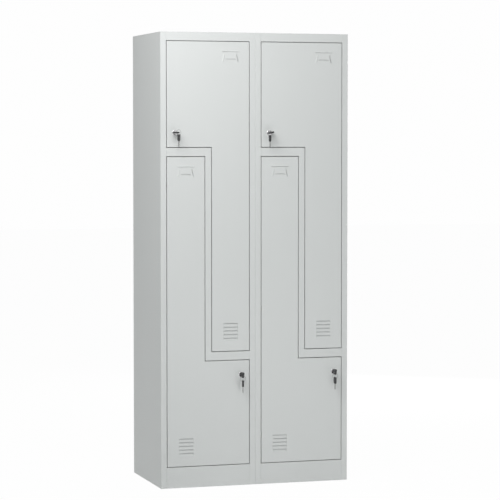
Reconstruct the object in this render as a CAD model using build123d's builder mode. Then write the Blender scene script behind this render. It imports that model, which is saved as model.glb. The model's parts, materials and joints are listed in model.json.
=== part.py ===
from build123d import *

import math
import os
from collections import namedtuple

# Steel office locker: two columns, each with two L-shaped doors that lock into one another
# round a Z-shaped front rail. Millimetres, +Z up, the front faces -Y and +X is the viewer's
# right. The origin is on the floor, under the seam between the columns, at half depth.

# Carcass
height = 1850
depth = 450
column_width = 400
column_seam = 0.2
sheet = 0.8
bend_radius = 1.2
flange = 15
foot_setback = 15
rail_lap = 5

# Door frame: stiles beside the doors, header above, plinth below, Z rail between
stile_face = 24
header_face = 35
plinth_face = 85
rail_face = 34.5
post_face = 25.5
rail_spread = 416
jamb_depth = 22
lip_width = 10

# Doors
door_gap = 2.5
door_sheet = 0.8
door_depth = 15
door_lip = 8
stiffener_width = 30
stiffener_depth = 10
stiffener_foot = 6
stiffener_edge = 12
stiffener_end = 30

# Louvres, pressed into each door under its leg's centre line
louvre_count = 5
louvre_width = 60
louvre_pitch = 15
louvre_reach = 11
louvre_depth = 3.8
louvre_height = 53.75

# Card holder: four pressed hoods round the card
card_top = 40
card_top_width = 72
card_bottom_width = 41
card_height = 30
card_side_length = 30
card_side_inset = 28.5
card_side_drop = 25.5
card_side_flare = 12.7
hood_reach = 5
hood_rise = 1.5
hood_slot = 0.8

# Hinges: a pin in a fixed arm that reaches into the door's folded edge
hinge_inset = 9
hinge_setback = 6
hinge_end = 110
hinge_height = 40
arm_height = 15
arm_thick = 3
knuckle_radius = 3.5
knuckle_gap = 0.3
pin_radius = 1.5
pin_fit = 0.05
pin_head_radius = 2.4
pin_head = 1.2
pin_tail = 1
plate_thick = 1.6
leaf_thick = 1.2
leaf_reach = 25
notch_clear = 2.5

# Rubber buffers that stop the doors
buffer_radius = 4
buffer_end = 25
buffer_clear = 0.3

# Cam locks
lock_edge = 33.75
lock_rise = 58.75
lock_body_radius = 8
lock_body_length = 19
lock_body_fit = 0.1
bezel_radius = 11
bezel_proud = 2
bezel_round = 1.4
plug_radius = 5.5
plug_fit = 0.08
plug_proud = 2.6
nut_across = 22
nut_thick = 3
cam_clear = 0.8
cam_thick = 2
cam_width = 14
cam_reach = 34
drive_square = 6
cam_screw_radius = 2.5
cam_screw_head_radius = 5
cam_screw_head = 3
cam_screw_length = 8

# Keys
bow_width = 22
bow_length = 27
bow_thick = 6
bow_neck_width = 15
bow_taper = 5
bow_round = 4
bow_edge = 1
bow_hole_edge = 5.5
bow_hole_long = 9
bow_hole_short = 5
blade_width = 7
blade_thick = 2
blade_length = 24
blade_tip = 2
blade_neck = 4.5
keyway_fit = 0.2
tang_width = 5
tang_length = 10
tooth_count = 4
tooth_start = 8
tooth_pitch = 3.6
tooth_depth = 1.6
ring_radius = 11.5
wire_radius = 0.8
ring_clear = 0.45

# Coat rails
rail_radius = 8
rail_wall = 1.2
rail_drop = 60
rail_fit = 0.1
socket_base = 2
socket_base_radius = 15
socket_wall = 2
socket_depth = 8

# Blind rivets through the seam between the columns, and holes for fixing to a wall
rivet_radius = 1.6
rivet_fit = 0.05
rivet_head_radius = 3.3
rivet_head = 1
rivet_head_round = 0.6
rivet_bulb_radius = 2.4
rivet_bulb = 2.6
rivet_from_front = 100
rivet_from_back = 60
rivet_rise = 300
rivet_drop = 250
wall_hole_radius = 4
wall_hole_spacing = 600
wall_hole_drop = 60

# How far a cut runs past the surface that it opens
overrun = 1

# Places worked out from the sizes above
rivet_inwards = (rivet_from_front, depth - rivet_from_back)
rivet_levels = (rivet_rise, height / 2, height - rivet_drop)
opening_high = height - header_face
opening_middle = (plinth_face + opening_high) / 2
upper_rail = opening_middle + rail_spread
lower_rail = opening_middle - rail_spread
back_face = depth - sheet
lip_back = jamb_depth + sheet
door_width = column_width - 2 * (stile_face + door_gap)
leg_width = (column_width - post_face) / 2 - stile_face - 2 * door_gap
door_height = opening_high - lower_rail - rail_face / 2 - 2 * door_gap
wide_height = opening_high - upper_rail - rail_face / 2 - 2 * door_gap
hinge_stations = (hinge_end, door_height / 2, door_height - hinge_end)
bow_near = bow_length - bow_hole_edge
hole_reach = plug_proud + blade_neck + bow_near
cam_front = lip_back + cam_clear
column_starts = {"left": -column_width, "right": 0}

# A door is drawn from its hinge edge and the end of its leg. The lower door is the upper one
# turned half round: turn is 1 where the door runs right and down from that corner, and -1
# where it runs left and up. Angles are in degrees.
Door = namedtuple("Door", "name hinge_x leg_end turn top key_roll ring_aim spare_twist")


def doors_of(column, start, upper_angles, lower_angles):
    """Upper and lower door of a column, with the angles at which their keys were left.

    The angles are a key's roll, the way its ring points out, and its spare key's twist.
    """
    upper = Door(
        f"upper_{column}",
        start + column_width - stile_face - door_gap,
        lower_rail + rail_face / 2 + door_gap,
        -1,
        opening_high - door_gap,
        *upper_angles,
    )
    lower_end = upper_rail - rail_face / 2 - door_gap
    start_edge = start + stile_face + door_gap
    lower = Door(f"lower_{column}", start_edge, lower_end, 1, lower_end, *lower_angles)
    return [upper, lower]


doors = doors_of("left", column_starts["left"], (0, 28, 28), (84, -90, -9))
doors += doors_of("right", column_starts["right"], (15, -60, -32), (80, -90, 0))


def across(door, *distances):
    """World X at distances from the door's hinge edge."""
    places = tuple(door.hinge_x + door.turn * distance for distance in distances)
    return places if len(places) > 1 else places[0]


def along(door, *distances):
    """World Z at distances from the end of the door's leg."""
    places = tuple(door.leg_end - door.turn * distance for distance in distances)
    return places if len(places) > 1 else places[0]


def front_plane(inward=0):
    """Plane of the front, or one further in, facing the viewer with +Z up."""
    return Plane.XZ.offset(depth / 2 - inward)


def slab(x, inward, z, mode=Mode.ADD):
    """Box between pairs of X, of distances in from the front, and of Z."""
    with Locations((min(x), min(inward) - depth / 2, min(z))):
        Box(
            max(x) - min(x),
            max(inward) - min(inward),
            max(z) - min(z),
            align=(Align.MIN, Align.MIN, Align.MIN),
            mode=mode,
        )


def rod_along_y(x, z, radius, start, end, mode=Mode.ADD):
    """Round bar square to the front, between two distances in from it."""
    with BuildSketch(front_plane(start)) as disc:
        with Locations((x, z)):
            Circle(radius)
    extrude(disc.sketch, amount=start - end, mode=mode)


def rod_along_z(x, inward, radius, low, high, mode=Mode.ADD):
    """Upright round bar between two heights."""
    with BuildSketch(Plane.XY.offset(low)) as disc:
        with Locations((x, inward - depth / 2)):
            Circle(radius)
    extrude(disc.sketch, amount=high - low, mode=mode)


def write(piece, node):
    """Name a finished piece and write its file."""
    piece.part.label = node
    export_step(piece.part, f"parts/{node}.step")


os.makedirs("parts", exist_ok=True)


# Upright panels: one sheet folded into wall, stile, jamb and lip in front, and a rear flange
def upright_panel(wall_x, inward_x, riveted):
    """Panel whose outer face is at wall_x, folded towards inward_x."""

    def side(*distances):
        return tuple(wall_x + inward_x * distance for distance in distances)

    rise = (0, height - sheet)
    with BuildPart() as panel:
        slab(side(0, sheet), (0, back_face), rise)
        slab(side(0, stile_face), (0, sheet), rise)
        slab(side(stile_face - sheet, stile_face), (0, lip_back), rise)
        slab(side(stile_face - sheet, stile_face + lip_width), (jamb_depth, lip_back), rise)
        slab(side(0, flange), (back_face - sheet, back_face), rise)
        fillet(panel.edges().filter_by(Axis.Z).group_by(Axis.Y)[0], radius=bend_radius)
        slab(side(0, flange), (lip_back + foot_setback, back_face), (0, sheet))
        if riveted:
            with BuildSketch(Plane.YZ.offset(wall_x)):
                for inward in rivet_inwards:
                    for level in rivet_levels:
                        with Locations((inward - depth / 2, level)):
                            Circle(rivet_radius + rivet_fit)
            extrude(amount=flange, both=True, mode=Mode.SUBTRACT)
    return panel


write(upright_panel(-column_width, 1, False), "side_panel_left")
write(upright_panel(column_width, -1, False), "side_panel_right")
write(upright_panel(0, -1, True), "centre_panel_left")
write(upright_panel(0, 1, True), "centre_panel_right")

# Top panels: roof sheet with header, header return, door lip and flanges
with BuildPart() as top_panels:
    for start in column_starts.values():
        end = start + column_width
        between_stiles = (start + stile_face, end - stile_face)
        between_lips = (start + stile_face + lip_width, end - stile_face - lip_width)
        roof_under = height - sheet
        roof = (start + column_seam / 2, end - column_seam / 2)
        slab(roof, (0, depth), (roof_under, height))
        slab(between_stiles, (0, sheet), (opening_high, height))
        slab(between_stiles, (0, jamb_depth), (opening_high, opening_high + sheet))
        slab(between_lips, (0, lip_back), (opening_high, opening_high + sheet))
        lip_low = opening_high - lip_width
        slab(between_lips, (jamb_depth, lip_back), (lip_low, opening_high + sheet))
        hang = (roof_under - flange, roof_under)
        for wall in (start + sheet, end - 2 * sheet):
            slab((wall, wall + sheet), (lip_back, back_face - sheet), hang)
        slab((start + flange, end - flange), (back_face - sheet, back_face), hang)
    fillet(
        top_panels.edges()
        .filter_by(Axis.X)
        .filter_by_position(Axis.Z, opening_high - sheet / 2, opening_high + sheet / 2)
        .group_by(Axis.Y)[0],
        radius=bend_radius,
    )
write(top_panels, "top_panels")

# Base panels: compartment floor with plinth, toe return and flanges. Tabs of the floor fill
# the hollows of the stiles.
with BuildPart() as base_panels:
    for start in column_starts.values():
        end = start + column_width
        between_stiles = (start + stile_face, end - stile_face)
        between_lips = (start + stile_face + lip_width, end - stile_face - lip_width)
        floor_under = plinth_face - sheet
        slab(between_stiles, (0, jamb_depth), (floor_under, plinth_face))
        slab(between_lips, (0, lip_back), (floor_under, plinth_face))
        walls = (start + sheet, end - sheet)
        slab(walls, (lip_back, back_face - sheet), (floor_under, plinth_face))
        for corner in (start + sheet, end - stile_face + sheet):
            in_stile = (corner, corner + stile_face - 2 * sheet)
            slab(in_stile, (sheet, lip_back), (floor_under, plinth_face))
        slab(between_stiles, (0, sheet), (0, plinth_face))
        slab(between_stiles, (0, flange), (0, sheet))
        hang = (floor_under - flange, floor_under)
        for wall in (start + sheet, end - 2 * sheet):
            slab((wall, wall + sheet), (lip_back, back_face - sheet), hang)
        rear = (floor_under - flange, plinth_face)
        slab((start + flange, end - flange), (back_face - sheet, back_face), rear)
    fillet(
        base_panels.edges()
        .filter_by(Axis.X)
        .filter_by_position(Axis.Z, plinth_face - sheet / 2, plinth_face + sheet / 2)
        .group_by(Axis.Y)[0],
        radius=bend_radius,
    )
write(base_panels, "base_panels")

# Back panel, with two holes for fixing the locker to a wall
with BuildPart() as back_panel:
    slab((-column_width, column_width), (back_face, depth), (0, height - sheet))
    for x in (-wall_hole_spacing / 2, wall_hole_spacing / 2):
        z = height - wall_hole_drop
        rod_along_y(x, z, wall_hole_radius, back_face - overrun, depth + overrun, Mode.SUBTRACT)
write(back_panel, "back_panel")


# Z rails: folded channels, open at the back, between the stiles
def z_band(start, inset):
    """Corners of a column's Z rail, with its long edges drawn in by an inset."""
    left = start + stile_face
    right = start + column_width - stile_face
    middle = start + column_width / 2
    post = post_face / 2 - inset
    half = rail_face / 2 - inset
    return [
        (left, upper_rail + half),
        (middle + post, upper_rail + half),
        (middle + post, lower_rail + half),
        (right, lower_rail + half),
        (right, lower_rail - half),
        (middle - post, lower_rail - half),
        (middle - post, upper_rail - half),
        (left, upper_rail - half),
    ]


with BuildPart() as z_rails:
    for start in column_starts.values():
        with BuildSketch(front_plane()):
            with BuildLine():
                Polyline(z_band(start, 0), close=True)
            make_face()
        extrude(amount=-jamb_depth)
    for front in z_rails.faces().filter_by(Axis.Y).group_by(Axis.Y)[0]:
        fillet(front.edges().sort_by(Axis.X)[1:-1], radius=bend_radius)
    for start in column_starts.values():
        with BuildSketch(front_plane(sheet)):
            with BuildLine():
                Polyline(z_band(start, sheet), close=True)
            make_face()
        extrude(amount=sheet - jamb_depth, mode=Mode.SUBTRACT)
write(z_rails, "z_rails")

# Z partitions: one folded sheet that is both compartments' shelf and the wall between them
shelf_upper = upper_rail + rail_face / 2 - sheet
shelf_lower = lower_rail + rail_face / 2 - sheet
wall_offset = post_face / 2 - sheet


def z_sheet(start, left, right):
    """Corners of a column's partition between two places in X."""
    wall = start + column_width / 2 + wall_offset
    return [
        (left, shelf_upper),
        (wall, shelf_upper),
        (wall, shelf_lower),
        (right, shelf_lower),
        (right, shelf_lower - sheet),
        (wall - sheet, shelf_lower - sheet),
        (wall - sheet, shelf_upper - sheet),
        (left, shelf_upper - sheet),
    ]


with BuildPart() as z_partitions:
    for start in column_starts.values():
        end = start + column_width
        lip_edge = stile_face + lip_width
        for edge, near, far in (
            (stile_face, jamb_depth - rail_lap, jamb_depth),
            (lip_edge, jamb_depth, lip_back),
            (sheet, lip_back, back_face - 2 * sheet),
        ):
            with BuildSketch(front_plane(near)):
                with BuildLine():
                    Polyline(z_sheet(start, start + edge, end - edge), close=True)
                make_face()
            extrude(amount=near - far)
        for wall, shelf in ((start + sheet, shelf_upper), (end - 2 * sheet, shelf_lower)):
            hang = (shelf - sheet - flange, shelf - sheet)
            slab((wall, wall + sheet), (lip_back, back_face - 2 * sheet), hang)
write(z_partitions, "z_partitions")

# Coat rails under the roof and under the upper shelf, in cups on the walls
rail_spans = []
for start in column_starts.values():
    dividing_wall = start + column_width / 2 + wall_offset - sheet
    roof_rail = height - sheet - rail_drop
    shelf_rail = shelf_upper - sheet - rail_drop
    rail_spans.append((start + sheet, start + column_width - sheet, roof_rail))
    rail_spans.append((start + sheet, dividing_wall, shelf_rail))

with BuildPart() as coat_rails:
    for left, right, level in rail_spans:
        with BuildSketch(Plane.YZ.offset(left + socket_base)):
            with Locations((0, level)):
                Circle(rail_radius)
                Circle(rail_radius - rail_wall, mode=Mode.SUBTRACT)
        extrude(amount=right - left - 2 * socket_base)
write(coat_rails, "coat_rails")

with BuildPart() as rail_sockets:
    for left, right, level in rail_spans:
        for wall, way in ((left, 1), (right, -1)):
            cup_radius = rail_radius + rail_fit + socket_wall
            for radius, length in ((socket_base_radius, socket_base), (cup_radius, socket_depth)):
                with BuildSketch(Plane.YZ.offset(wall)):
                    with Locations((0, level)):
                        Circle(radius)
                extrude(amount=way * length)
            with BuildSketch(Plane.YZ.offset(wall + way * socket_base)):
                with Locations((0, level)):
                    Circle(rail_radius + rail_fit)
            extrude(amount=way * socket_depth, mode=Mode.SUBTRACT)
write(rail_sockets, "rail_sockets")

# Blind rivets that hold the two columns together: a round head, and a bulb on the far side
with BuildPart() as column_rivets:
    for inward in rivet_inwards:
        for level in rivet_levels:
            for start, radius, length in (
                (sheet, rivet_head_radius, rivet_head),
                (-sheet, rivet_radius, 2 * sheet),
                (-sheet, rivet_bulb_radius, -rivet_bulb),
            ):
                with BuildSketch(Plane.YZ.offset(start)) as disc:
                    with Locations((inward - depth / 2, level)):
                        Circle(radius)
                extrude(disc.sketch, amount=length)
    rims = column_rivets.edges().filter_by(GeomType.CIRCLE).group_by(Axis.X)[-1]
    fillet(rims, radius=rivet_head_round)
write(column_rivets, "column_rivets")

# Fixed hinge leaves: a plate on the lip behind the door, with an arm forward to the pin
with BuildPart() as hinge_arms:
    for door in doors:
        axis_x = across(door, hinge_inset)
        for station in hinge_stations:
            level = along(door, station)
            plate = (jamb_depth - plate_thick, jamb_depth)
            arm_rise = (level - arm_height / 2, level + arm_height / 2)
            arm_width = (axis_x - arm_thick / 2, axis_x + arm_thick / 2)
            root = (across(door, -door_gap), across(door, hinge_inset + arm_thick / 2))
            on_lip = across(door, -door_gap, lip_width - door_gap)
            slab(on_lip, plate, (level - hinge_height / 2, level + hinge_height / 2))
            slab(root, plate, arm_rise)
            slab(arm_width, (hinge_setback, jamb_depth), arm_rise)
            rod_along_z(axis_x, hinge_setback, knuckle_radius, *arm_rise)
            bore = pin_radius + pin_fit
            rod_along_z(axis_x, hinge_setback, bore, *arm_rise, Mode.SUBTRACT)
write(hinge_arms, "hinge_arms")

with BuildPart() as hinge_pins:
    for door in doors:
        axis_x = across(door, hinge_inset)
        for station in hinge_stations:
            level = along(door, station)
            head = level + hinge_height / 2 + knuckle_gap
            tail = level - hinge_height / 2 - pin_tail
            rod_along_z(axis_x, hinge_setback, pin_radius, tail, head)
            rod_along_z(axis_x, hinge_setback, pin_head_radius, head, head + pin_head)
write(hinge_pins, "hinge_pins")

# Rubber buffers on the lip behind each door's free edge
with BuildPart() as door_buffers:
    for door in doors:
        for station in (door_height - wide_height + buffer_end, door_height - buffer_end):
            x = across(door, door_width + door_gap - lip_width + buffer_radius)
            rise = (door_depth + buffer_clear, jamb_depth)
            rod_along_y(x, along(door, station), buffer_radius, *rise)
write(door_buffers, "door_buffers")


# Doors
def door_outline(door, inset):
    """Corners of a door, with every edge drawn in by an inset."""
    step = door_height - wide_height + inset
    corners = (
        (inset, inset),
        (leg_width - inset, inset),
        (leg_width - inset, step),
        (door_width - inset, step),
        (door_width - inset, door_height - inset),
        (inset, door_height - inset),
    )
    return [(across(door, p), along(door, q)) for p, q in corners]


def door_layer(door, inset, start, end, mode):
    """Door outline as a plate between two distances in from the front."""
    with BuildSketch(front_plane(start)) as layer:
        with BuildLine():
            Polyline(door_outline(door, inset), close=True)
        make_face()
    extrude(layer.sketch, amount=start - end, mode=mode)


def press(x, z, angle, width, reach, rise, slot=0):
    """Hood pressed out of the door sheet, or into it where rise is negative.

    Its open edge has its middle at x, z, and angle points from there to its closed edge. A
    hood that stands out has a slot through the sheet along its open edge.
    """
    turned = math.radians(angle)
    section = Plane(
        origin=(x, -depth / 2, z),
        x_dir=(math.cos(turned), 0, math.sin(turned)),
        z_dir=(math.sin(turned), 0, -math.cos(turned)),
    )
    shown = [(0, rise), (reach, 0)]
    under = [(reach, -door_sheet), (0, rise - door_sheet)]
    if rise > 0:
        body = shown + [(reach, -door_sheet), (0, -door_sheet)]
        behind = -door_sheet - overrun
        hollow = under + [(-slot, rise - door_sheet), (-slot, behind), (reach, behind)]
    else:
        body = [(0, 0), (reach, 0)] + under
        hollow = shown + [(reach, overrun), (0, overrun)]
    for corners, half, mode in (
        (body, width / 2 + door_sheet, Mode.ADD),
        (hollow, width / 2, Mode.SUBTRACT),
    ):
        with BuildSketch(section) as profile:
            with BuildLine():
                Polyline(corners, close=True)
            make_face()
        extrude(profile.sketch, amount=half, both=True, mode=mode)


for door in doors:
    leg_middle = across(door, leg_width / 2)
    bottom = door.top - door_height
    lock_x = across(door, door_width - lock_edge)
    lock_z = along(door, door_height - wide_height + lock_rise)

    # Folded pan: skin, edges and rear lips in one sheet
    with BuildPart() as pan:
        door_layer(door, 0, 0, door_depth, Mode.ADD)
        fillet(pan.faces().sort_by(Axis.Y)[0].edges(), radius=bend_radius)
        door_layer(door, door_sheet, door_sheet, door_depth - door_sheet, Mode.SUBTRACT)
        door_layer(door, door_lip, door_sheet, door_depth, Mode.SUBTRACT)
        for station in hinge_stations:
            level = along(door, station)
            notch = arm_height / 2 + notch_clear
            slab(
                across(door, -overrun, door_lip),
                (door_sheet + leaf_thick, door_depth + overrun),
                (level - notch, level + notch),
                Mode.SUBTRACT,
            )
        for step in range(louvre_count):
            slot = bottom + louvre_height + step * louvre_pitch
            press(leg_middle, slot, -90, louvre_width, louvre_reach, -louvre_depth)
        card = door.top - card_top
        side_z = card - card_side_drop
        left_angle = 180 - card_side_flare
        hood = (hood_reach, hood_rise, hood_slot)
        press(leg_middle, card, 90, card_top_width, *hood)
        press(leg_middle, card - card_height, -90, card_bottom_width, *hood)
        for way, angle in ((-1, left_angle), (1, card_side_flare)):
            side_x = leg_middle + way * card_side_inset
            press(side_x, side_z, angle, card_side_length, *hood)
        hole = lock_body_radius + lock_body_fit
        rod_along_y(lock_x, lock_z, hole, -overrun, door_sheet + overrun, Mode.SUBTRACT)
    write(pan, f"door_{door.name}")

    # Hat section stiffener along the free edge of the leg
    with BuildPart() as stiffener:
        outer = leg_width - stiffener_edge
        inner = outer - stiffener_width
        rise = along(door, stiffener_end, door_height - stiffener_end)
        crown = door_sheet + stiffener_depth
        slab(across(door, inner, outer), (door_sheet, door_sheet + sheet), rise)
        crown_span = across(door, inner + stiffener_foot, outer - stiffener_foot)
        slab(crown_span, (door_sheet, crown), rise)
        hollow_span = across(door, inner + stiffener_foot + sheet, outer - stiffener_foot - sheet)
        slab(hollow_span, (door_sheet, crown - sheet), rise, Mode.SUBTRACT)
    write(stiffener, f"door_stiffener_{door.name}")

    # Moving hinge leaves: a plate on the back of the skin with two knuckles
    with BuildPart() as leaves:
        for station in hinge_stations:
            level = along(door, station)
            axis_x = across(door, hinge_inset)
            leaf_back = door_sheet + leaf_thick
            leaf_span = across(door, hinge_inset - knuckle_radius, hinge_inset + leaf_reach)
            tall = (level - hinge_height / 2, level + hinge_height / 2)
            slab(leaf_span, (door_sheet, leaf_back), tall)
            web = (axis_x - arm_thick / 2, axis_x + arm_thick / 2)
            inner_end = arm_height / 2 + knuckle_gap
            outer_end = hinge_height / 2
            for low, high in ((inner_end, outer_end), (-outer_end, -inner_end)):
                knuckle = (level + low, level + high)
                slab(web, (leaf_back, hinge_setback), knuckle)
                rod_along_z(axis_x, hinge_setback, knuckle_radius, *knuckle)
                bore = pin_radius + pin_fit
                rod_along_z(axis_x, hinge_setback, bore, *knuckle, Mode.SUBTRACT)
    write(leaves, f"hinge_leaves_{door.name}")


# Locks and keys
def key_plane(hole, blade_way, flat_normal):
    """Plane of a key: origin in its bow's hole, local Y towards the tip of its blade."""
    return Plane(origin=hole, x_dir=blade_way.cross(flat_normal), z_dir=flat_normal)


def key_bar(plane, width, near, far, thick, mode=Mode.ADD):
    """Flat bar on a key's plane between two distances from the hole."""
    with BuildSketch(plane) as flat:
        with Locations((0, (near + far) / 2)):
            Rectangle(width, far - near)
    extrude(flat.sketch, amount=thick / 2, both=True, mode=mode)


def key_bow(plane):
    """Moulded bow with a long hole for the ring and a pocket for the blade's tang."""
    shoulder = bow_near - bow_taper
    half = bow_width / 2
    neck = bow_neck_width / 2
    with BuildPart() as bow:
        with BuildSketch(plane) as outline:
            with BuildLine():
                Polyline(
                    (-neck, bow_near),
                    (neck, bow_near),
                    (half, shoulder),
                    (half, -bow_hole_edge),
                    (-half, -bow_hole_edge),
                    (-half, shoulder),
                    close=True,
                )
            make_face()
            fillet(outline.vertices(), radius=bow_round)
        extrude(amount=bow_thick / 2, both=True)
        flats = bow.faces().filter_by(GeomType.PLANE).sort_by(SortBy.AREA)[-2:]
        fillet(flats.edges(), radius=bow_edge)
        with BuildSketch(plane):
            SlotOverall(bow_hole_long, bow_hole_short)
        extrude(amount=bow_thick, both=True, mode=Mode.SUBTRACT)
        key_bar(plane, tang_width, bow_near - tang_length, bow_near, blade_thick, Mode.SUBTRACT)
    return bow


def key_blade(plane):
    """Blade with a tang, a blunt tip and a row of cuts along one edge."""
    tip = bow_near + blade_length
    with BuildPart() as blade:
        key_bar(plane, tang_width, bow_near - tang_length, bow_near, blade_thick)
        key_bar(plane, blade_width, bow_near, tip, blade_thick)
        with BuildSketch(plane):
            for step in range(tooth_count):
                place = bow_near + tooth_start + step * tooth_pitch
                with BuildLine():
                    Polyline(
                        (blade_width / 2, place - tooth_depth),
                        (blade_width / 2, place + tooth_depth),
                        (blade_width / 2 - tooth_depth, place),
                        close=True,
                    )
                make_face()
            for way in (-1, 1):
                with BuildLine():
                    Polyline(
                        (way * blade_width / 2, tip),
                        (way * (blade_width / 2 - blade_tip), tip),
                        (way * blade_width / 2, tip - blade_tip),
                        close=True,
                    )
                make_face()
        extrude(amount=blade_thick, both=True, mode=Mode.SUBTRACT)
    return blade


def wire_place(hole_size):
    """How far from the middle of a bow's hole the ring's wire lies, near the hole's wall."""
    bend_in_bow = bow_thick**2 / (8 * ring_radius)
    return hole_size / 2 - wire_radius - bend_in_bow - ring_clear


KeySet = namedtuple(
    "KeySet", "lock hole seat key_axis ring_centre ring_axis low_point swing_axis spare_axis"
)


def key_set(door):
    """Where a door's lock, key, ring and spare key are, with the directions of their axes.

    The ring rests in its seat, against the outer wall of the bow's hole where the bow lies
    flat, and in the hole's lower end where the bow stands upright. It swings there about
    key_axis, which is square to the bow. ring_axis is square to the ring. The spare key
    swings about swing_axis, the wire's direction at the ring's lowest point, and spare_axis
    is square to its bow.
    """
    lock_x = across(door, door_width - lock_edge)
    lock_z = along(door, door_height - wide_height + lock_rise)
    roll = math.radians(door.key_roll)
    aim = math.radians(door.ring_aim)
    lock = Vector(lock_x, -depth / 2, lock_z)
    hole = lock + Vector(0, -hole_reach, 0)
    wide = Vector(math.cos(roll), 0, math.sin(roll))
    key_axis = Vector(-math.sin(roll), 0, math.cos(roll))
    if wide.X > wide.Z:
        seat = hole - Vector(0, wire_place(bow_hole_short), 0)
    else:
        seat = hole - wide * wire_place(bow_hole_long)
    outward = wide * math.sin(aim) - Vector(0, math.cos(aim), 0)
    centre = seat + outward * ring_radius
    ring_axis = key_axis.cross(outward).normalized()
    down = Vector(0, 0, -1)
    lowest = (down - ring_axis * down.dot(ring_axis)).normalized()
    low_point = centre + lowest * ring_radius
    tangent = ring_axis.cross(lowest)
    swing_axis = Vector(tangent.X, tangent.Y, 0).normalized()
    spare_axis = swing_axis.rotate(Axis.Z, door.spare_twist)
    ring_places = (key_axis, centre, ring_axis, low_point)
    return KeySet(lock, hole, seat, *ring_places, swing_axis, spare_axis)


for door in doors:
    keys = key_set(door)
    x = keys.lock.X
    z = keys.lock.Z
    in_lock = key_plane(keys.hole, Vector(0, 1, 0), keys.key_axis)
    spare_hole = keys.low_point - Vector(0, 0, wire_place(bow_hole_short))
    hanging = key_plane(spare_hole, Vector(0, 0, -1), keys.spare_axis)

    # Lock body with its bezel, and the nut behind the door
    with BuildPart() as housing:
        rod_along_y(x, z, bezel_radius, -bezel_proud, 0)
        rim = housing.faces().sort_by(Axis.Y)[0].edges()
        fillet(rim, radius=bezel_round)
        rod_along_y(x, z, lock_body_radius, 0, lock_body_length)
        bore = plug_radius + plug_fit
        rod_along_y(x, z, bore, -bezel_proud - overrun, lock_body_length, Mode.SUBTRACT)
        with BuildSketch(front_plane(door_sheet)):
            with Locations((x, z)):
                RegularPolygon(nut_across / math.sqrt(3), 6)
                Circle(lock_body_radius + lock_body_fit, mode=Mode.SUBTRACT)
        extrude(amount=-nut_thick)
    write(housing, f"lock_housing_{door.name}")

    # Plug, with its keyway in front and its square drive and screw hole behind
    cam_back = cam_front + cam_thick
    screw_start = cam_back - cam_screw_length
    blade_end = hole_reach - bow_near - blade_length
    with BuildPart() as plug:
        rod_along_y(x, z, plug_radius, -plug_proud, cam_front)
        drive = (x - drive_square / 2, x + drive_square / 2)
        drive_rise = (z - drive_square / 2, z + drive_square / 2)
        slab(drive, (cam_front, cam_back), drive_rise)
        rod_along_y(x, z, cam_screw_radius, screw_start, cam_back, Mode.SUBTRACT)
        slot_near = hole_reach - plug_proud - overrun
        slot_far = bow_near + blade_length + keyway_fit
        slot_thick = blade_thick + 2 * keyway_fit
        slot_width = blade_width + 2 * keyway_fit
        key_bar(in_lock, slot_width, slot_near, slot_far, slot_thick, Mode.SUBTRACT)
    write(plug, f"lock_plug_{door.name}")

    # Cam on the square, pointing away from the rail while unlocked, and its screw
    with BuildPart() as cam:
        away = -door.turn
        rod_along_y(x, z, cam_width / 2, cam_front, cam_back)
        tip_centre = z + away * (cam_reach - cam_width / 2)
        slab((x - cam_width / 2, x + cam_width / 2), (cam_front, cam_back), (z, tip_centre))
        rod_along_y(x, tip_centre, cam_width / 2, cam_front, cam_back)
        slab(drive, (cam_front, cam_back), drive_rise, Mode.SUBTRACT)
        rod_along_y(x, z, cam_screw_radius, screw_start, cam_back)
        rod_along_y(x, z, cam_screw_head_radius, cam_back, cam_back + cam_screw_head)
    write(cam, f"lock_cam_{door.name}")

    write(key_bow(in_lock), f"key_bow_{door.name}")
    write(key_blade(in_lock), f"key_blade_{door.name}")
    with BuildPart(Plane(origin=keys.ring_centre, z_dir=keys.ring_axis)) as ring:
        Torus(ring_radius, wire_radius)
    write(ring, f"key_ring_{door.name}")
    write(key_bow(hanging), f"spare_bow_{door.name}")
    write(key_blade(hanging), f"spare_blade_{door.name}")

print("door", door_width, "x", door_height, "leg", leg_width, "wide part", wide_height)
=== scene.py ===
# %% [markdown]
# # A steel office locker
#
# The locker is folded from thin steel sheet and powder coated light grey. Two columns stand
# side by side, and each has two L-shaped doors that lock into one another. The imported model
# brings every sheet, door, lock and key at its real size. This script gives them their
# finishes, adds what is too small for the sheet work, and sets up the studio.

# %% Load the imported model
import json
import math

import bmesh
import bpy
from mathutils import Matrix, Vector


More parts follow.
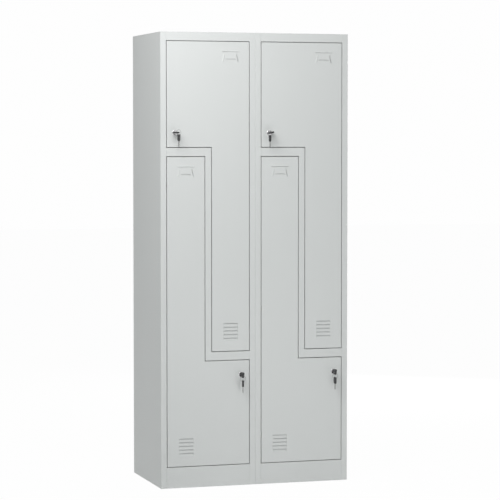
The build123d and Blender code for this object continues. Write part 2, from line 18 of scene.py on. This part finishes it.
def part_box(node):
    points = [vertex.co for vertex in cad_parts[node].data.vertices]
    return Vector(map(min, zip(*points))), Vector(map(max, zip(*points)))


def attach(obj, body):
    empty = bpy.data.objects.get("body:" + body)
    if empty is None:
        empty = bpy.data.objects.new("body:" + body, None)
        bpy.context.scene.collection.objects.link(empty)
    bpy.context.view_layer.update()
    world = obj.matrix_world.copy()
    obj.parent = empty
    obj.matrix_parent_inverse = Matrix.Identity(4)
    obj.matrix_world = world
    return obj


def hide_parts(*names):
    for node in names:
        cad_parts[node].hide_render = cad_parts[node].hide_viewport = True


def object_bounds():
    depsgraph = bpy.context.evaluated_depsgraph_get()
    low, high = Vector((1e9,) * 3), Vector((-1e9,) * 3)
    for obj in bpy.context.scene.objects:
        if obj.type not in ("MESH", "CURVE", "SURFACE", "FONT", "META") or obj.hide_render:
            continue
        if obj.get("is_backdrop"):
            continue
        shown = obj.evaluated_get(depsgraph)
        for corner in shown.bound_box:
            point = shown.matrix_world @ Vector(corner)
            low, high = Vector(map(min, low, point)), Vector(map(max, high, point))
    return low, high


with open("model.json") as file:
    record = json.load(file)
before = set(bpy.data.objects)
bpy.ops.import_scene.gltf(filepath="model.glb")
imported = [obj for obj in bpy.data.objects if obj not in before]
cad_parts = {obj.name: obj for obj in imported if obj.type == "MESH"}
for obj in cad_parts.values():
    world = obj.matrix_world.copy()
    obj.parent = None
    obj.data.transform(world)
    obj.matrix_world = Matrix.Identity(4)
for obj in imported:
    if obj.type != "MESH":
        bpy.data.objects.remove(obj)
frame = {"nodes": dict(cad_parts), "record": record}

cad_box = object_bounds()
MM = 0.001
DOORS = ("upper_left", "lower_left", "upper_right", "lower_right")

# %% [markdown]
# ## The camera
#
# The photograph was taken with a long lens from the left, a little below the locker's top.
# The camera could be placed by eye, but the corners and the gap lines round the doors fix it
# to a tenth of a pixel. So it is written down as a point, two angles and a lens, with no shift.

# %% Camera
CAMERA_PLACE = (-2.594, -8.475, 1.423)
CAMERA_YAW = math.radians(17.31)
CAMERA_PITCH = math.radians(3.03)
CAMERA_LENS = 152.42
CAMERA_SENSOR = 36
CAMERA_REACH = 100

camera_data = bpy.data.cameras.new("photo_camera")
camera_data.sensor_width = CAMERA_SENSOR
camera_data.lens = CAMERA_LENS
camera_data.clip_end = CAMERA_REACH
camera = bpy.data.objects.new("photo_camera", camera_data)
camera.location = CAMERA_PLACE
camera.rotation_euler = (math.pi / 2 - CAMERA_PITCH, 0, -CAMERA_YAW)
bpy.context.scene.collection.objects.link(camera)
bpy.context.scene.camera = camera
print("camera", CAMERA_PLACE, "lens", CAMERA_LENS)

# %% [markdown]
# ## Node materials
#
# Every finish is a Principled shader fed by procedural textures in object coordinates. The
# pieces' places are in their meshes, so object coordinates are metres on the real thing, and
# a noise scale of 400 gives bumps 2.5 mm apart. Images would need their own wrapping for each
# folded sheet, and noise needs none. Small helpers keep the node trees short.


# %% A material and its textures
def new_material(name):
    """Empty node material with a Principled shader, and its tree."""
    material = bpy.data.materials.new(name)
    material.use_nodes = True
    tree = material.node_tree
    tree.nodes.clear()
    output = tree.nodes.new("ShaderNodeOutputMaterial")
    shader = tree.nodes.new("ShaderNodeBsdfPrincipled")
    tree.links.new(shader.outputs["BSDF"], output.inputs["Surface"])
    return material, tree, shader


def place(tree, stretch=(1, 1, 1)):
    """Object coordinates, stretched along the axes."""
    coordinates = tree.nodes.new("ShaderNodeTexCoord")
    mapping = tree.nodes.new("ShaderNodeMapping")
    mapping.inputs["Scale"].default_value = stretch
    tree.links.new(coordinates.outputs["Object"], mapping.inputs["Vector"])
    return mapping.outputs["Vector"]


def noise(tree, where, scale, detail=2, roughness=0.5):
    """Noise texture's value, from 0 to 1."""
    texture = tree.nodes.new("ShaderNodeTexNoise")
    texture.inputs["Scale"].default_value = scale
    texture.inputs["Detail"].default_value = detail
    texture.inputs["Roughness"].default_value = roughness
    tree.links.new(where, texture.inputs["Vector"])
    return texture.outputs["Fac"]


print("texture helpers ready")


# %% From a texture to a number, a colour or a bump
def spread(tree, value, low, high, start=0.3, end=0.7):
    """Value stretched from start and end to low and high."""
    node = tree.nodes.new("ShaderNodeMapRange")
    node.inputs["From Min"].default_value = start
    node.inputs["From Max"].default_value = end
    node.inputs["To Min"].default_value = low
    node.inputs["To Max"].default_value = high
    tree.links.new(value, node.inputs["Value"])
    return node.outputs["Result"]


def tint(tree, value, dark, light):
    """Colour between dark and light by a value."""
    node = tree.nodes.new("ShaderNodeMix")
    node.data_type = "RGBA"
    node.inputs["A"].default_value = (*dark, 1)
    node.inputs["B"].default_value = (*light, 1)
    tree.links.new(value, node.inputs["Factor"])
    return node.outputs["Result"]


def bump(tree, height, depth, below=None):
    """Normal from a height value, in metres, on top of another normal."""
    node = tree.nodes.new("ShaderNodeBump")
    node.inputs["Distance"].default_value = depth
    tree.links.new(height, node.inputs["Height"])
    if below is not None:
        tree.links.new(below, node.inputs["Normal"])
    return node.outputs["Normal"]


def shades(colour, change):
    """A colour's darker and lighter neighbours."""
    return [tuple(c * (1 + way * change) for c in colour) for way in (-1, 1)]


print("colour and bump helpers ready")

# %% [markdown]
# ## Powder coat
#
# The locker's grey is a polyester powder, baked on. It looks even from a step away. Near by
# it has a fine orange peel, and the broad panels are never quite flat, so a long soft wave
# bends the reflections a little. A flat colour would miss both. The rims of the sheets are
# rounded by the coat, which a Bevel node gives without more faces.

# %% Powder coat
PAINT_GREY = (0.625, 0.635, 0.63)
PAINT_CHANGE = 0.012
PAINT_ROUGH = (0.36, 0.46)
CLOUD_SCALE = 3
GRAIN_SCALE = 900
PEEL_SCALE = 420
PEEL_DEPTH = 0.05 * MM
WAVE_SCALE = 2.2
WAVE_DEPTH = 1.2 * MM
RIM_RADIUS = 0.35 * MM


def powder_coat(name, colour):
    """Semi-gloss powder coat on steel sheet."""
    material, tree, shader = new_material(name)
    where = place(tree)
    cloud = noise(tree, where, CLOUD_SCALE, 3)
    grain = noise(tree, where, GRAIN_SCALE, 1)
    dark, light = shades(colour, PAINT_CHANGE)
    tree.links.new(tint(tree, cloud, dark, light), shader.inputs["Base Color"])
    tree.links.new(spread(tree, grain, *PAINT_ROUGH), shader.inputs["Roughness"])
    rim = tree.nodes.new("ShaderNodeBevel")
    rim.inputs["Radius"].default_value = RIM_RADIUS
    wave = bump(tree, noise(tree, where, WAVE_SCALE, 1), WAVE_DEPTH, rim.outputs["Normal"])
    peel = bump(tree, noise(tree, where, PEEL_SCALE, 2), PEEL_DEPTH, wave)
    tree.links.new(peel, shader.inputs["Normal"])
    return material


body_paint = powder_coat("body_paint", PAINT_GREY)
print("powder coat", PAINT_GREY)

# %% [markdown]
# ## Bright metals
#
# The locks and coat rails are chromed, the keys nickel plated, and the hinges, cams and
# rivets zinc plated. All are metals that differ only in colour and in how rough they are, so
# one recipe serves them. Fine lines run the way each was polished, made by noise that is drawn
# out along one axis. The studio is white all round, so a metal shows as its own colour. The
# keys' nickel is painted dark instead, a painted reflection of darker surroundings.

# %% Bright metals
LINE_SCALE = 300
SMEAR_SCALE = 60
PLATE_CHANGE = 0.06
ALONG_X = (0.05, 4, 4)
ALONG_Z = (4, 4, 0.05)
EVEN = (2, 2, 2)


def plated(name, colour, rough, stretch, line_depth):
    """Plated metal whose roughness wanders between two values along fine lines."""
    material, tree, shader = new_material(name)
    shader.inputs["Metallic"].default_value = 1
    lines = noise(tree, place(tree, stretch), LINE_SCALE, 3)
    smear = noise(tree, place(tree), SMEAR_SCALE, 3)
    dark, light = shades(colour, PLATE_CHANGE)
    tree.links.new(tint(tree, smear, dark, light), shader.inputs["Base Color"])
    tree.links.new(spread(tree, lines, *rough), shader.inputs["Roughness"])
    tree.links.new(bump(tree, lines, line_depth), shader.inputs["Normal"])
    return material


# Colour, lowest and highest roughness, the way of the lines and their depth.
lock_chrome = plated("lock_chrome", (0.64, 0.64, 0.65), (0.1, 0.2), EVEN, 0.0006 * MM)
rail_chrome = plated("rail_chrome", (0.66, 0.66, 0.67), (0.1, 0.2), ALONG_X, 0.002 * MM)
# The keys' colour is a painted reflection: nickel painted dark, as if it mirrored dark
# surroundings.
key_nickel = plated("key_nickel", (0.27, 0.27, 0.265), (0.24, 0.38), ALONG_Z, 0.006 * MM)
fastener_zinc = plated("fastener_zinc", (0.68, 0.68, 0.66), (0.3, 0.45), EVEN, 0.01 * MM)
hinge_steel = plated("hinge_steel", (0.62, 0.62, 0.6), (0.32, 0.48), ALONG_Z, 0.01 * MM)
print("metals ready")

# %% [markdown]
# ## Plastics and rubber
#
# The key bows are moulded in black with a fine spark-eroded grain. The rail cups are a plain
# grey moulding, and the buffers are black rubber that dust has made a little paler. The grain
# is finer than a pixel from a step away, so a bump gives it, and modelling it would only cost
# faces.

# %% Plastics and rubber
PATCH_SCALE = 120
SHEEN_SCALE = 250


def moulded(name, colour, rough, grain_scale, grain_depth, change):
    """Moulded plastic or rubber with a fine grain."""
    material, tree, shader = new_material(name)
    where = place(tree)
    patches = noise(tree, where, PATCH_SCALE, 4)
    sheen = noise(tree, where, SHEEN_SCALE)
    grain = noise(tree, where, grain_scale)
    dark, light = shades(colour, change)
    tree.links.new(tint(tree, patches, dark, light), shader.inputs["Base Color"])
    tree.links.new(spread(tree, sheen, *rough), shader.inputs["Roughness"])
    tree.links.new(bump(tree, grain, grain_depth), shader.inputs["Normal"])
    return material


# Colour, lowest and highest roughness, scale and depth of the grain, and change of colour.
key_plastic = moulded("key_plastic", (0.02, 0.02, 0.022), (0.38, 0.5), 2500, 0.03 * MM, 0.2)
socket_plastic = moulded("socket_plastic", (0.45, 0.46, 0.46), (0.45, 0.6), 1800, 0.02 * MM, 0.05)
buffer_rubber = moulded("buffer_rubber", (0.05, 0.05, 0.05), (0.7, 0.9), 1500, 0.05 * MM, 0.3)
print("plastics ready")

# %% [markdown]
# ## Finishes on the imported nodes
#
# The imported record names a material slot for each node. The finishes could be set piece by
# piece, but a table from slot to finish can't leave a node out.

# %% Give the nodes their finishes
FINISHES = {
    "body_paint": body_paint,
    "lock_chrome": lock_chrome,
    "key_nickel": key_nickel,
    "key_plastic": key_plastic,
    "hinge_steel": hinge_steel,
    "fastener_zinc": fastener_zinc,
    "rail_chrome": rail_chrome,
    "socket_plastic": socket_plastic,
    "buffer_rubber": buffer_rubber,
}
slot_of = {entry["node"]: entry["material_slot"] for entry in frame["record"]["subparts"]}
for node, item in frame["nodes"].items():
    item.data.materials.clear()
    item.data.materials.append(FINISHES[slot_of[node]])
print("finished nodes", len(slot_of))

# %% [markdown]
# ## Geometry Nodes helpers
#
# What repeats or follows a path is made by Geometry Nodes, because one tree with named sizes
# then serves every place. An exported model can't hold instances, so each tree ends in Realize
# Instances and Set Material, and its result is turned into a plain mesh.


# %% Open and close a node tree
def new_tree(name, sizes):
    """Geometry node tree with named inputs, its input node, and its sockets by name."""
    tree = bpy.data.node_groups.new(name, "GeometryNodeTree")
    sockets = {}
    for size in sizes:
        socket_type = "NodeSocketInt" if size.endswith("count") else "NodeSocketFloat"
        sockets[size] = tree.interface.new_socket(size, in_out="INPUT", socket_type=socket_type)
    tree.interface.new_socket("Geometry", in_out="OUTPUT", socket_type="NodeSocketGeometry")
    return tree, tree.nodes.new("NodeGroupInput"), sockets


def end_tree(tree, shape, material):
    """Close a tree with smooth shading, Realize Instances and Set Material."""
    smooth = tree.nodes.new("GeometryNodeSetShadeSmooth")
    whole = tree.nodes.new("GeometryNodeRealizeInstances")
    painted = tree.nodes.new("GeometryNodeSetMaterial")
    painted.inputs["Material"].default_value = material
    output = tree.nodes.new("NodeGroupOutput")
    tree.links.new(shape, smooth.inputs["Geometry"])
    tree.links.new(smooth.outputs["Geometry"], whole.inputs["Geometry"])
    tree.links.new(whole.outputs["Geometry"], painted.inputs["Geometry"])
    tree.links.new(painted.outputs["Geometry"], output.inputs["Geometry"])


print("tree helpers ready")


# %% From a tree to a piece
def grow(tree, sockets, values):
    """Plain mesh that a tree makes with these input values."""
    carrier = bpy.data.objects.new("carrier", bpy.data.meshes.new("carrier"))
    bpy.context.scene.collection.objects.link(carrier)
    modifier = carrier.modifiers.new("nodes", "NODES")
    modifier.node_group = tree
    for size, value in values.items():
        modifier[sockets[size].identifier] = value
    graph = bpy.context.evaluated_depsgraph_get()
    graph.update()
    mesh = bpy.data.meshes.new_from_object(carrier.evaluated_get(graph), depsgraph=graph)
    bpy.data.objects.remove(carrier)
    return mesh


def add_piece(name, meshes, body):
    """One object at the origin from meshes already in place, riding on a body."""
    joined = bmesh.new()
    for mesh in meshes:
        joined.from_mesh(mesh)
    result = bpy.data.meshes.new(name)
    joined.to_mesh(result)
    joined.free()
    for material in meshes[0].materials:
        result.materials.append(material)
    piece = bpy.data.objects.new(name, result)
    bpy.context.scene.collection.objects.link(piece)
    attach(piece, body)
    return piece


print("piece helpers ready")

# %% [markdown]
# ## Split rings
#
# A key ring is two turns of spring wire wound on themselves. A torus would look like a
# curtain ring, so each ring is a tight helix: a Spiral curve with a round profile. It takes
# the place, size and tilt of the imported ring, which are read from that ring's own mesh.

# %% Split ring tree
STEPS_PER_TURN = 56
WIRE_SIDES = 12


def split_ring_tree():
    """Helix of wire round Z."""
    tree, given, sockets = new_tree("split_ring", ("ring radius", "wire radius", "turns", "rise"))
    helix = tree.nodes.new("GeometryNodeCurveSpiral")
    helix.inputs["Resolution"].default_value = STEPS_PER_TURN
    wire = tree.nodes.new("GeometryNodeCurvePrimitiveCircle")
    wire.inputs["Resolution"].default_value = WIRE_SIDES
    sweep = tree.nodes.new("GeometryNodeCurveToMesh")
    sweep.inputs["Fill Caps"].default_value = True
    tree.links.new(given.outputs["ring radius"], helix.inputs["Start Radius"])
    tree.links.new(given.outputs["ring radius"], helix.inputs["End Radius"])
    tree.links.new(given.outputs["turns"], helix.inputs["Rotations"])
    tree.links.new(given.outputs["rise"], helix.inputs["Height"])
    tree.links.new(given.outputs["wire radius"], wire.inputs["Radius"])
    tree.links.new(helix.outputs["Curve"], sweep.inputs["Curve"])
    tree.links.new(wire.outputs["Curve"], sweep.inputs["Profile Curve"])
    # The ring takes the keys' nickel, whose dark colour is a painted reflection.
    end_tree(tree, sweep.outputs["Mesh"], key_nickel)
    return tree, sockets


ring_tree, ring_sockets = split_ring_tree()
print("ring tree inputs", list(ring_sockets))


# %% Place of a packed ring
def ring_pose(node):
    """Centre, axis, mean radius and wire radius of a packed ring."""
    points = [vertex.co for vertex in frame["nodes"][node].data.vertices]
    centre = sum(points, Vector()) / len(points)
    first = max(points, key=lambda point: (point - centre).length) - centre
    across = min(points, key=lambda point: abs((point - centre).dot(first)))
    axis = first.cross(across - centre).normalized()
    far = max((point - centre).length for point in points)
    thick = max(abs((point - centre).dot(axis)) for point in points)
    return centre, axis, far - thick, thick


ring_poses = {door: ring_pose(f"key_ring_{door}") for door in DOORS}
print("rings measured", len(ring_poses))

# %% Split rings
RING_TURNS = 2.0
WIRE_SHARE = 0.46

for door, (centre, axis, radius, wire) in ring_poses.items():
    coil = wire * WIRE_SHARE
    rise = RING_TURNS * 2 * coil
    values = {"ring radius": radius, "wire radius": coil, "turns": RING_TURNS, "rise": rise}
    mesh = grow(ring_tree, ring_sockets, values)
    turn = axis.to_track_quat("Z", "X").to_matrix().to_4x4()
    mesh.transform(Matrix.Translation(centre) @ turn @ Matrix.Translation((0, 0, -rise / 2)))
    ring = add_piece(f"split_ring_{door}", [mesh], f"ring_{door}")
    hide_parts(f"key_ring_{door}")
    print(door, "ring radius", round(radius / MM, 2), "wire", round(wire / MM, 2))

# %% [markdown]
# ## Spot welds
#
# The panels are spot welded through their flanges, and each weld shows through the coat as a
# low round mark, six millimetres across. A bump in the paint could show them, but would be
# lost where only the mesh is kept. They run in rows, so one tree sets flat lenses along a
# line, and the rows follow the flanges' places.

# %% Spot weld tree
LENS_SIDES = 16
LENS_RINGS = 6


def weld_row_tree():
    """Row of flat lenses along X, facing Z."""
    tree, given, sockets = new_tree("weld_row", ("pitch", "weld count", "weld radius", "weld rise"))
    row = tree.nodes.new("GeometryNodeMeshLine")
    step = tree.nodes.new("ShaderNodeCombineXYZ")
    lens = tree.nodes.new("GeometryNodeMeshUVSphere")
    lens.inputs["Segments"].default_value = LENS_SIDES
    lens.inputs["Rings"].default_value = LENS_RINGS
    size = tree.nodes.new("ShaderNodeCombineXYZ")
    spots = tree.nodes.new("GeometryNodeInstanceOnPoints")
    tree.links.new(given.outputs["pitch"], step.inputs["X"])
    tree.links.new(given.outputs["weld count"], row.inputs["Count"])
    tree.links.new(step.outputs["Vector"], row.inputs["Offset"])
    for side, value in (("X", "weld radius"), ("Y", "weld radius"), ("Z", "weld rise")):
        tree.links.new(given.outputs[value], size.inputs[side])
    tree.links.new(row.outputs["Mesh"], spots.inputs["Points"])
    tree.links.new(lens.outputs["Mesh"], spots.inputs["Instance"])
    tree.links.new(size.outputs["Vector"], spots.inputs["Scale"])
    end_tree(tree, spots.outputs["Instances"], body_paint)
    return tree, sockets


weld_tree, weld_sockets = weld_row_tree()
print("weld tree inputs", list(weld_sockets))

# %% A row of welds on a face
WELD_PITCH = 90 * MM
WELD_RADIUS = 3 * MM
WELD_RISE = 0.2 * MM


def weld_row(start, end, outward):
    """Row of welds between two points on a face, evenly spread."""
    start, end = Vector(start), Vector(end)
    count = max(2, round((end - start).length / WELD_PITCH) + 1)
    pitch = (end - start).length / (count - 1)
    values = {
        "pitch": pitch,
        "weld count": count,
        "weld radius": WELD_RADIUS,
        "weld rise": WELD_RISE,
    }
    mesh = grow(weld_tree, weld_sockets, values)
    along = (end - start).normalized()
    out = Vector(outward)
    turn = Matrix((along, out.cross(along), out)).transposed().to_4x4()
    mesh.transform(Matrix.Translation(start) @ turn)
    return mesh


print("weld pitch", round(WELD_PITCH / MM), "mm")

# %% Spot welds on the back
FLANGE = 15 * MM
SHEET = 0.8 * MM
back_low, back_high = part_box("back_panel")
floor_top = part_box("base_panels")[1].z
top_level = cad_box[1].z - SHEET - FLANGE / 2
base_level = floor_top - SHEET - FLANGE / 2
inset = 4 * FLANGE
back_rows = []
for side in (back_low.x + FLANGE / 2, -FLANGE / 2, FLANGE / 2, back_high.x - FLANGE / 2):
    low, high = (side, back_high.y, inset + FLANGE), (side, back_high.y, top_level - inset)
    back_rows.append(weld_row(low, high, (0, 1, 0)))
for level in (base_level, top_level):
    for left, right in ((back_low.x, 0), (0, back_high.x)):
        ends = ((left + inset, back_high.y, level), (right - inset, back_high.y, level))
        back_rows.append(weld_row(*ends, (0, 1, 0)))
add_piece("back_welds", back_rows, "carcass")
print("back rows", len(back_rows))

# %% Spot welds on the sides
shelf_low, shelf_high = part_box("z_partitions")
shelf_levels = {-1: shelf_high.z - SHEET - FLANGE / 2, 1: shelf_low.z + FLANGE / 2}
near, far = -back_high.y + inset, back_high.y - inset
side_rows = []
for way, wall in ((-1, back_low.x), (1, back_high.x)):
    for level in (base_level, shelf_levels[way], top_level):
        side_rows.append(weld_row((wall, near, level), (wall, far, level), (way, 0, 0)))
add_piece("side_welds", side_rows, "carcass")
print("side rows", len(side_rows))

# %% [markdown]
# ## The studio
#
# The photograph has a white surround with hardly any shadow. The floor and the world are
# white for the camera and in reflections, through Light Path, so the background doesn't need
# more light on the locker. The light that the world sheds is weaker and a little cool. Under
# the locker the floor still takes its shadow.

# %% Floor sheet
FLOOR_REACH = 24

floor_mesh = bpy.data.meshes.new("floor")
corners = [(x * FLOOR_REACH, y * FLOOR_REACH, 0) for x, y in ((-1, -1), (1, -1), (1, 1), (-1, 1))]
floor_mesh.from_pydata(corners, [], [(0, 1, 2, 3)])
floor = bpy.data.objects.new("floor", floor_mesh)
bpy.context.scene.collection.objects.link(floor)
floor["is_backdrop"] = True
print("floor", 2 * FLOOR_REACH, "m")


# %% Floor finish
def seen_directly(tree):
    """One for the camera and for reflections, and zero for all other light."""
    path = tree.nodes.new("ShaderNodeLightPath")
    either = tree.nodes.new("ShaderNodeMath")
    either.operation = "MAXIMUM"
    tree.links.new(path.outputs["Is Camera Ray"], either.inputs[0])
    tree.links.new(path.outputs["Is Glossy Ray"], either.inputs[1])
    return either.outputs["Value"]


FLOOR_WHITE = (0.9, 0.9, 0.9, 1)
FLOOR_ROUGH = 0.9
FLOOR_GLOW = 0.975

floor_material, floor_tree, floor_shader = new_material("white_floor")
floor_shader.inputs["Base Color"].default_value = FLOOR_WHITE
floor_shader.inputs["Roughness"].default_value = FLOOR_ROUGH
floor_shader.inputs["Specular IOR Level"].default_value = 0
glow = floor_tree.nodes.new("ShaderNodeEmission")
mixed = floor_tree.nodes.new("ShaderNodeMixShader")
share = spread(floor_tree, seen_directly(floor_tree), 0, FLOOR_GLOW, 0, 1)
floor_tree.links.new(share, mixed.inputs["Fac"])
floor_tree.links.new(floor_shader.outputs["BSDF"], mixed.inputs[1])
floor_tree.links.new(glow.outputs["Emission"], mixed.inputs[2])
floor_output = floor_tree.nodes["Material Output"]
floor_tree.links.new(mixed.outputs["Shader"], floor_output.inputs["Surface"])
floor_mesh.materials.append(floor_material)
print("floor glow", FLOOR_GLOW)

# %% World
WORLD_LEVEL = 0.29
SHOWN_LEVEL = 0.99
FILL_COLOUR = (0.93, 1, 0.985)
SHOWN_COLOUR = (1, 1, 1)

world = bpy.data.worlds.new("studio")
world.use_nodes = True
bpy.context.scene.world = world
world_tree = world.node_tree
background = world_tree.nodes["Background"]
shown = seen_directly(world_tree)
colour = tint(world_tree, shown, FILL_COLOUR, SHOWN_COLOUR)
strength = spread(world_tree, shown, WORLD_LEVEL, SHOWN_LEVEL, 0, 1)
world_tree.links.new(colour, background.inputs["Color"])
world_tree.links.new(strength, background.inputs["Strength"])
print("world level", WORLD_LEVEL)

# %% [markdown]
# ## Lamps
#
# The front is brightest at its top left and falls off to the right and down, so a broad soft
# lamp hangs near that corner. The keys throw two shadows. A soft one to the right comes from
# that lamp. A sharper one to the left puts a small lamp in front at about head height, which is
# kept out of reflections because it would flare in the flat bezels. A low lamp stands for the
# light that a white studio floor sends back. One behind lights the back and the right side, and
# stands lower than the roof, which would mirror it from the front.


# %% Lamps
# Each lamp's place, the point that it faces, its side in metres and its power in watts.
LAMPS = {
    "corner_lamp": ((-1.1, -1.6, 2.6), (-0.2, -0.2, 1.5), 1.5, 40),
    "low_lamp": ((0.4, -1.9, 0.2), (0.1, -0.2, 0.15), 0.8, 4.6),
    "back_lamp": ((2.1, 3.2, 1.2), (0, 0.2, 0.9), 1.6, 80),
    "front_lamp": ((0.3, -3.2, 1.8), (0, -0.2, 1), 0.25, 8.5),
}


def area_lamp(name, spot, aim, side, power):
    """Square area lamp that faces a point."""
    lamp = bpy.data.lights.new(name, "AREA")
    lamp.size = side
    lamp.energy = power
    item = bpy.data.objects.new(name, lamp)
    item.location = spot
    item.rotation_euler = (Vector(aim) - Vector(spot)).to_track_quat("-Z", "Y").to_euler()
    bpy.context.scene.collection.objects.link(item)
    return item


lamps = {name: area_lamp(name, *values) for name, values in LAMPS.items()}
lamps["front_lamp"].visible_glossy = False
print("lamps", len(lamps))

# %% [markdown]
# ## Colours as they are, and the size
#
# The Standard view shows a colour as it is written. The box round everything is measured
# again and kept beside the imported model's own, to show that the finish adds hardly anything.

# %% View settings and the size of the result
bpy.context.scene.view_settings.view_transform = "Standard"
seen_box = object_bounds()
for title, box in (("CAD box", cad_box), ("shown box", seen_box)):
    print(title, [[round(value, 4) for value in corner] for corner in box])
